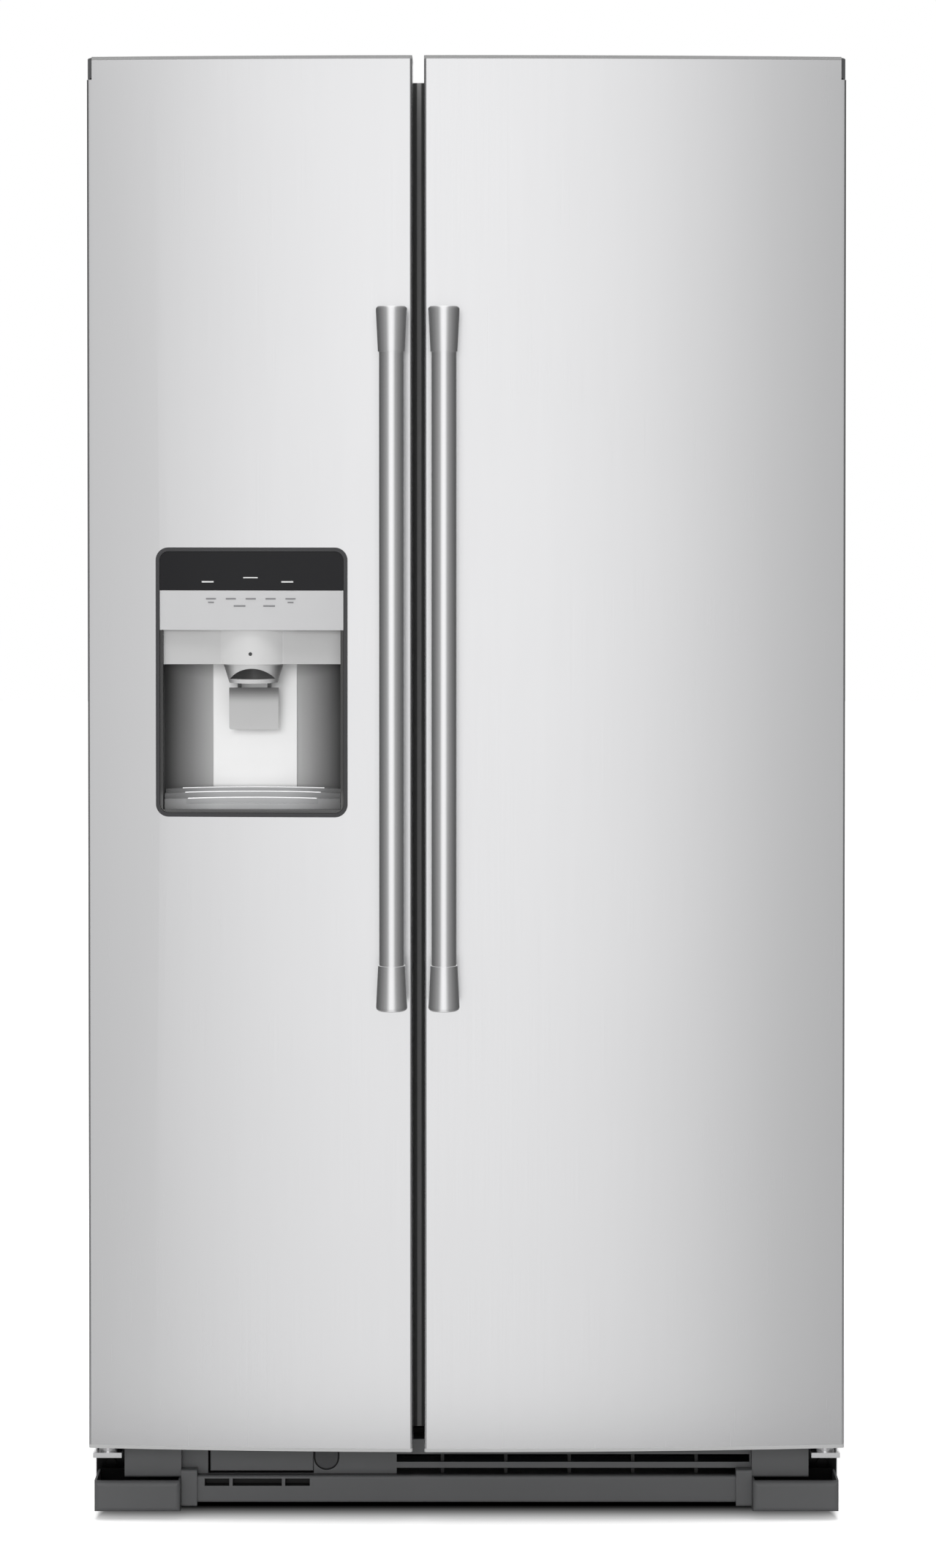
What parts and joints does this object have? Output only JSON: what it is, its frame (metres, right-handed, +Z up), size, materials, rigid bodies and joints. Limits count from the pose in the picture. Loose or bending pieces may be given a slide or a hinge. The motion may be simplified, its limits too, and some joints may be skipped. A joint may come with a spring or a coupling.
{
  "type": "side by side refrigerator",
  "caption": "Side by side refrigerator with bowed steel doors, bar handles, an ice and water dispenser, shelves, drawers, door bins and a base grille.",
  "frame": {"origin": "centre of the footprint at floor level, under the levelling legs", "axes": "+X to the right when facing the doors, +Y from the doors to the back, +Z up"},
  "size_m": [0.902, 0.8567, 1.745],
  "materials": {
    "stainless": "satin",
    "polished_bar": "polished",
    "door_end_plastic": "matte",
    "insulation": "matte",
    "white_liner": "semi gloss",
    "ice_maker_grey": "matte",
    "gasket_rubber": "matte",
    "clear_plastic": "gloss",
    "shelf_glass": "gloss",
    "display_black": "gloss",
    "keypad_silver": "satin",
    "dispenser_grey": "satin",
    "dispenser_dark": "satin",
    "tray_grey": "satin",
    "cabinet_paint": "satin",
    "galvanised": "satin",
    "mullion_paint": "satin",
    "hinge_steel": "satin",
    "charcoal_plastic": "matte",
    "filter_plastic": "matte",
    "compressor_black": "semi gloss",
    "coil_aluminium": "satin",
    "fan_plastic": "matte",
    "valve_plastic": "matte"
  },
  "bodies": {
    "cabinet": {"base_grille": "charcoal_plastic", "base_pan": "galvanised", "bottom_hinges": "hinge_steel", "cabinet_foam": "insulation", "cabinet_shell": "cabinet_paint", "compressor": "compressor_black", "condenser_coil": "compressor_black", "control_box": "white_liner", "drawer_frame": "white_liner", "evaporator_coil": "coil_aluminium", "evaporator_cover": "white_liner", "fan_motor": "fan_plastic", "filter_housing": "filter_plastic", "foot_covers": "charcoal_plastic", "freezer_liner": "white_liner", "freezer_shelves": "white_liner", "fridge_liner": "white_liner", "hinge_covers": "charcoal_plastic", "hinge_screws": "hinge_steel", "ice_bucket": "clear_plastic", "ice_maker": "ice_maker_grey", "leveling_legs": "charcoal_plastic", "mullion_strip": "mullion_paint", "rear_cover": "galvanised", "rear_panel": "galvanised", "shelf_frames": "white_liner", "shelf_glass": "shelf_glass", "top_hinges": "hinge_steel", "water_valve": "valve_plastic"},
    "freezer_door": {"freezer_door_skin": "stainless", "freezer_door_caps": "door_end_plastic", "freezer_door_foam": "insulation", "freezer_door_liner": "white_liner", "freezer_door_gasket": "gasket_rubber", "freezer_handle_bar": "polished_bar", "freezer_handle_ends": "polished_bar", "freezer_door_bins": "clear_plastic", "dispenser_housing": "dispenser_grey", "dispenser_trim": "dispenser_dark", "display_panel": "display_black", "keypad_strip": "keypad_silver", "ice_chute": "dispenser_grey"},
    "fridge_door": {"fridge_door_skin": "stainless", "fridge_door_caps": "door_end_plastic", "fridge_door_foam": "insulation", "fridge_door_liner": "white_liner", "fridge_door_gasket": "gasket_rubber", "fridge_handle_bar": "polished_bar", "fridge_handle_ends": "polished_bar", "fridge_door_bins": "clear_plastic"},
    "dispenser_paddle": {"dispenser_paddle": "dispenser_dark"},
    "drip_tray": {"drip_tray": "tray_grey"},
    "dairy_cover": {"dairy_cover": "clear_plastic"},
    "water_filter": {"water_filter": "charcoal_plastic"},
    "eject_button": {"eject_button": "charcoal_plastic"},
    "upper_crisper": {"upper_crisper": "clear_plastic"},
    "lower_crisper": {"lower_crisper": "clear_plastic"},
    "freezer_basket": {"freezer_basket": "clear_plastic"},
    "condenser_fan": {"condenser_fan": "fan_plastic"},
    "rear_rollers": {"rear_rollers": "charcoal_plastic"}
  },
  "joints": [
    {"name": "freezer_door_hinge", "type": "hinge", "parent": "cabinet", "child": "freezer_door", "pos_m": [-0.429, -0.3205, 0.9], "axis": [0, 0, -1], "range_deg": [0, 120]},
    {"name": "fridge_door_hinge", "type": "hinge", "parent": "cabinet", "child": "fridge_door", "pos_m": [0.429, -0.3205, 0.9], "axis": [0, 0, 1], "range_deg": [0, 120]},
    {"name": "dispenser_paddle_push", "type": "hinge", "parent": "freezer_door", "child": "dispenser_paddle", "pos_m": [-0.254, -0.30775, 0.99], "axis": [1, 0, 0], "range_deg": [0, 10], "stiffness_Nm_per_rad": 0.4},
    {"name": "drip_tray_lift", "type": "slide", "parent": "freezer_door", "child": "drip_tray", "axis": [0, 0, 1], "range_m": [0, 0.025]},
    {"name": "dairy_cover_flip", "type": "hinge", "parent": "fridge_door", "child": "dairy_cover", "pos_m": [0.1865, -0.2135, 1.591], "axis": [1, 0, 0], "range_deg": [0, 80]},
    {"name": "water_filter_slide", "type": "slide", "parent": "cabinet", "child": "water_filter", "axis": [0, -1, 0], "range_m": [0, 0.2]},
    {"name": "eject_button_press", "type": "slide", "parent": "cabinet", "child": "eject_button", "axis": [0, 1, 0], "range_m": [0, 0.005], "stiffness_N_per_m": 400},
    {"name": "upper_crisper_slide", "type": "slide", "parent": "cabinet", "child": "upper_crisper", "axis": [0, -1, 0], "range_m": [0, 0.06]},
    {"name": "lower_crisper_slide", "type": "slide", "parent": "cabinet", "child": "lower_crisper", "axis": [0, -1, 0], "range_m": [0, 0.06]},
    {"name": "freezer_basket_slide", "type": "slide", "parent": "cabinet", "child": "freezer_basket", "axis": [0, -1, 0], "range_m": [0, 0.06]},
    {"name": "condenser_fan_spin", "type": "hinge", "parent": "cabinet", "child": "condenser_fan", "pos_m": [0.02, 0.3225, 0.143], "axis": [1, 0, 0], "continuous": true},
    {"name": "rear_rollers_roll", "type": "hinge", "parent": "cabinet", "child": "rear_rollers", "pos_m": [0, 0.36, 0.022], "axis": [1, 0, 0], "continuous": true}
  ]
}
